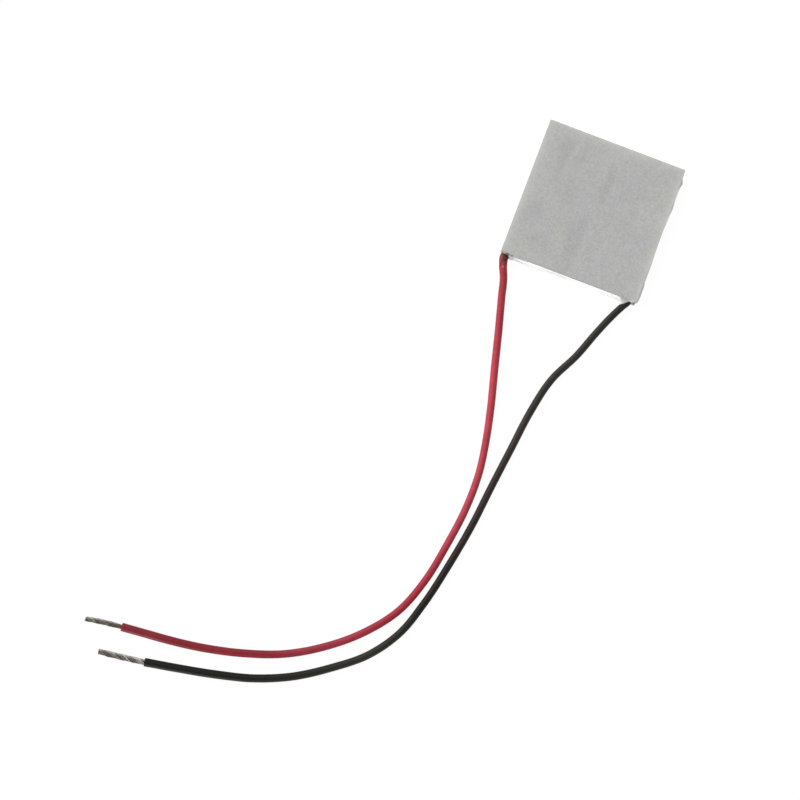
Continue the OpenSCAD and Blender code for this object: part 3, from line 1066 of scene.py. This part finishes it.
class COOLING_OT_leads(bpy.types.Operator):
    """Build the red and the black lead with their twisted bare ends"""

    bl_idname = "cooling_module.leads"
    bl_label = "Leads"

    def execute(self, context):
        look, strands = context.scene.cooling_leads, context.scene.cooling_strands
        tin = tinned_finish(strands)
        red = insulation_finish(
            "red_vinyl", look.red_colour, RED_PAINTED_LIGHT, gloss=0.28, dust=0.0, marks=RED_STAINS_AND_PAINTED_LIGHT,
        )
        black = insulation_finish(
            "black_vinyl", look.black_colour, BLACK_PAINTED_LIGHT, gloss=0.22, dust=0.06,
        )
        red_end = BareEnd(
            strands.red_bare, strands.red_bundle, strands.red_bend,
            curl=2.5, neck=0.84, worn=0.22, fading=0.35, seed=strands.red_seed,
        )
        black_end = BareEnd(
            strands.black_bare, strands.black_bundle, strands.black_bend,
            curl=1.3, neck=0.94, worn=0.0, fading=-0.3, seed=strands.black_seed,
        )
        for name, route, start, finish, bare in (
            ("red", RED_ROUTE, RED_START, red, red_end),
            ("black", BLACK_ROUTE, BLACK_START, black, black_end),
        ):
            knots = lead_knots(lead_route(route, start))
            line = lead_line(knots)
            girths = [girth for *_, girth in route]
            tube = insulation(name, knots, girths, line, look)
            node = name + "_lead"
            finish_piece(tube, name + "_insulation", name + "_insulation", finish, node)
            end = twisted_end(line, bare, strands.lay)
            finish_piece(end, name + "_strands", "tinned_core", tin, node + "_free_end")
        return {"FINISHED"}


class COOLING_OT_plates(bpy.types.Operator):
    """Build the two ceramic plates"""

    bl_idname = "cooling_module.plates"
    bl_label = "Plates"

    def execute(self, context):
        look = context.scene.cooling_plates
        alumina = ceramic_finish(look)
        ceramic_plate("hot_plate", "hot_ceramic", look, alumina)
        ceramic_plate("cold_plate", "cold_ceramic", look, alumina)
        return {"FINISHED"}


class COOLING_OT_seal(bpy.types.Operator):
    """Build the silicone bead round the rim with its dabs round the leads"""

    bl_idname = "cooling_module.seal"
    bl_label = "Sealing bead"

    def execute(self, context):
        look = context.scene.cooling_seal
        sealing_bead(look, silicone_finish(look))
        return {"FINISHED"}


class COOLING_OT_circuit(bpy.types.Operator):
    """Finish the tabs, the pellets, the solder and the leads' soldered ends"""

    bl_idname = "cooling_module.circuit"
    bl_label = "Circuit"

    def execute(self, context):
        copper = metal_finish(
            "bare_copper", (0.72, 0.36, 0.22), (0.5, 0.22, 0.13),
            patch=1.2 * MM, rough=0.34,
        )
        solder = metal_finish(
            "bright_solder", (0.72, 0.72, 0.71), (0.5, 0.5, 0.5),
            patch=0.5 * MM, rough=0.28,
        )
        n_type = telluride_finish(
            "n_telluride", (0.42, 0.43, 0.47), (0.24, 0.25, 0.28), rough=0.45,
        )
        p_type = telluride_finish(
            "p_telluride", (0.33, 0.33, 0.36), (0.17, 0.17, 0.20), rough=0.5,
        )
        tin = bpy.data.materials["tinned_strands"]
        finishes = {
            "hot_tabs": copper, "cold_tabs": copper, "n_pellets": n_type,
            "p_pellets": p_type, "pellet_solder": solder, "red_lead_joint": solder,
            "black_lead_joint": solder, "red_lead_soldered_end": tin,
            "black_lead_soldered_end": tin,
        }
        for node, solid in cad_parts.items():
            kind = node.split("_column_")[0]
            if kind in finishes:
                for slot in solid.material_slots:
                    slot.material = finishes[kind]
        return {"FINISHED"}


class COOLING_PT_sidebar(bpy.types.Panel):
    """The cooling module's operators and settings"""

    bl_label = "Cooling Module"
    bl_idname = "COOLING_PT_sidebar"
    bl_space_type = "VIEW_3D"
    bl_region_type = "UI"
    bl_category = "Cooling Module"

    def draw(self, context):
        for operator in OPERATORS:
            self.layout.operator(operator.bl_idname)
        for name in SETTINGS:
            box = self.layout.box()
            group = getattr(context.scene, name)
            for setting in group.bl_rna.properties:
                if setting.identifier not in ("rna_type", "name"):
                    box.prop(group, setting.identifier)


SETTINGS = {
    "cooling_stage": StageSettings,
    "cooling_leads": LeadSettings,
    "cooling_strands": StrandSettings,
    "cooling_plates": PlateSettings,
    "cooling_seal": SealSettings,
}
OPERATORS = (
    COOLING_OT_stage,
    COOLING_OT_leads,
    COOLING_OT_plates,
    COOLING_OT_seal,
    COOLING_OT_circuit,
)


def register():
    for kind in (*SETTINGS.values(), *OPERATORS, COOLING_PT_sidebar):
        bpy.utils.register_class(kind)
    for name, kind in SETTINGS.items():
        setattr(bpy.types.Scene, name, PointerProperty(type=kind))


def unregister():
    for name in SETTINGS:
        delattr(bpy.types.Scene, name)
    for kind in (COOLING_PT_sidebar, *reversed(OPERATORS), *SETTINGS.values()):
        bpy.utils.unregister_class(kind)


def main():
    register()
    bpy.ops.cooling_module.stage()
    bpy.ops.cooling_module.leads()
    bpy.ops.cooling_module.plates()
    bpy.ops.cooling_module.seal()
    bpy.ops.cooling_module.circuit()


if __name__ == "__main__":
    main()
